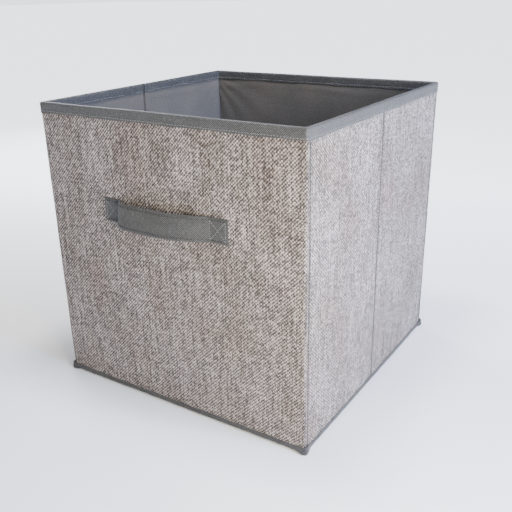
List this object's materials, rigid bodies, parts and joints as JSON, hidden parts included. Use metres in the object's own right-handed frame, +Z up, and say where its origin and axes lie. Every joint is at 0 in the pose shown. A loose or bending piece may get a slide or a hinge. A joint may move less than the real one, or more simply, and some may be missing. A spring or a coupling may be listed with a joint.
{
  "type": "fabric storage bin",
  "caption": "Square open-topped fabric storage bin with cloth-covered board walls on cloth hinges, bound rim and base, a sewn front tape handle, side creases and a loose base board.",
  "frame": {"origin": "middle of the footprint, at the floor cloth's underside to within 1 mm; the bin rests on its base bindings at z = 0", "axes": "+Z up out of the mouth, -Y out of the front wall with the handle, +Y out of the rear wall, +X out of the right side wall"},
  "size_m": [0.31, 0.329, 0.31],
  "materials": {
    "cover_cloth": "grey-beige mottled non-woven cloth with a linen-look print, matte",
    "binding_tape": "mid-grey non-woven tape with a fine cross-hatch emboss, satin",
    "lining_cloth": "plain dark-grey non-woven lining, smooth and matte",
    "handle_tape": "mid-grey folded non-woven tape with a fine cross-hatch emboss, satin",
    "greyboard": "unbleached greyboard, matte"
  },
  "bodies": {
    "back": {"back_cover": "cover_cloth", "back_wall_board": "greyboard", "back_lining": "lining_cloth", "back_rim_binding": "binding_tape", "back_base_binding": "binding_tape", "left_rear_corner_web": "cover_cloth", "right_rear_corner_web": "cover_cloth", "floor_cloth": "lining_cloth"},
    "left_rear": {"left_rear_cover": "cover_cloth", "left_rear_wall_board": "greyboard", "left_rear_lining": "lining_cloth", "left_rear_rim_binding": "binding_tape", "left_rear_base_binding": "binding_tape"},
    "left_front": {"left_front_cover": "cover_cloth", "left_front_wall_board": "greyboard", "left_front_lining": "lining_cloth", "left_front_rim_binding": "binding_tape", "left_front_base_binding": "binding_tape"},
    "right_rear": {"right_rear_cover": "cover_cloth", "right_rear_wall_board": "greyboard", "right_rear_lining": "lining_cloth", "right_rear_rim_binding": "binding_tape", "right_rear_base_binding": "binding_tape"},
    "right_front": {"right_front_cover": "cover_cloth", "right_front_wall_board": "greyboard", "right_front_lining": "lining_cloth", "right_front_rim_binding": "binding_tape", "right_front_base_binding": "binding_tape"},
    "front": {"front_cover": "cover_cloth", "front_wall_board": "greyboard", "front_lining": "lining_cloth", "front_rim_binding": "binding_tape", "front_base_binding": "binding_tape", "handle_left_patch": "handle_tape", "handle_right_patch": "handle_tape", "handle_backing": "lining_cloth"},
    "handle": {"handle_loop": "handle_tape"},
    "base_board": {"base_board_under_cloth": "lining_cloth", "base_board_core": "greyboard", "base_board_top_cloth": "lining_cloth"}
  },
  "joints": [
    {"name": "fold", "type": "hinge", "parent": "back", "child": "left_rear", "pos_m": [-0.1501, 0.1459, 0.155], "axis": [0, 0, 1], "range_deg": [0, 89], "deforming": ["floor_cloth", "base_board_under_cloth", "base_board_core", "base_board_top_cloth"]},
    {"name": "left_crease", "type": "hinge", "parent": "left_rear", "child": "left_front", "pos_m": [-0.1551, -0.00205, 0.155], "axis": [0, 0, 1], "range_deg": [-178, 0]},
    {"name": "left_front_corner", "type": "hinge", "parent": "left_front", "child": "front", "pos_m": [-0.1501, -0.15, 0.155], "axis": [0, 0, 1], "range_deg": [0, 89]},
    {"name": "right_rear_corner", "type": "hinge", "parent": "back", "child": "right_rear", "pos_m": [0.1501, 0.1459, 0.155], "axis": [0, 0, 1], "range_deg": [-89, 0]},
    {"name": "right_crease", "type": "hinge", "parent": "right_rear", "child": "right_front", "pos_m": [0.1551, -0.00205, 0.155], "axis": [0, 0, 1], "range_deg": [0, 178]},
    {"name": "base_board_tilt", "type": "hinge", "parent": "back", "child": "base_board", "pos_m": [0, 0.1481, 0.0033], "axis": [-1, 0, 0], "range_deg": [0, 90]},
    {"name": "handle_tilt", "type": "hinge", "parent": "front", "child": "handle", "pos_m": [0, -0.1595, 0.209], "axis": [1, 0, 0], "range_deg": [-10, 10], "stiffness_Nm_per_rad": 0.05}
  ],
  "couplings": [
    {"joint": "left_crease", "follows": "fold", "ratio": -2},
    {"joint": "left_front_corner", "follows": "fold", "ratio": 1},
    {"joint": "right_rear_corner", "follows": "fold", "ratio": -1},
    {"joint": "right_crease", "follows": "fold", "ratio": 2},
    {"joint": "base_board_tilt", "follows": "fold", "ratio": 1.0112}
  ]
}
